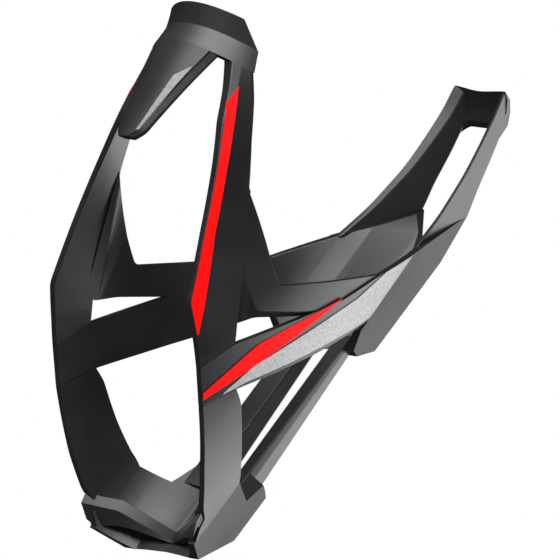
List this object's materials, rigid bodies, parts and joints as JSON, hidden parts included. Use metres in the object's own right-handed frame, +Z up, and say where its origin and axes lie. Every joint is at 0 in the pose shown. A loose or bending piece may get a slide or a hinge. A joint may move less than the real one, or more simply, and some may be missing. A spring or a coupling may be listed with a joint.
{
  "type": "bicycle water bottle cage",
  "caption": "Angular composite bottle cage: collar with sprung front tongue, wrapped arms and side bars, rear loop, slotted back and a footed shelf.",
  "frame": {"origin": "on the mounting plane that meets the bicycle frame's tube, midway between the two frame bolts", "axes": "+Z up along the bottle's axis, towards the collar and the rear loop; +Y out of the back, into the bicycle frame; +X to the right when looking at the back, so the open front faces -Y"},
  "size_m": [0.0786, 0.0845, 0.1319],
  "materials": {
    "satin_composite": "satin near-black moulded fibre composite",
    "red_film": "flat bright red printed film",
    "silver_film": "fine-grained silver paint film"
  },
  "bodies": {
    "root": {"collar": "satin_composite", "tongue": "satin_composite", "arm_right": "satin_composite", "arm_left": "satin_composite", "side_bar_right": "satin_composite", "side_bar_left": "satin_composite", "wing_right": "satin_composite", "wing_left": "satin_composite", "lower_arm_right": "satin_composite", "lower_arm_left": "satin_composite", "leg_right": "satin_composite", "leg_left": "satin_composite", "top_bridge": "satin_composite", "upper_mount": "satin_composite", "rail_right": "satin_composite", "rail_left": "satin_composite", "lower_mount": "satin_composite", "shelf": "satin_composite", "arm_stripe_right": "red_film", "arm_stripe_left": "red_film", "wing_stripe_right": "red_film", "wing_stripe_left": "red_film", "wing_panel_right": "silver_film", "wing_panel_left": "silver_film", "tongue_flash": "silver_film"}
  },
  "joints": []
}
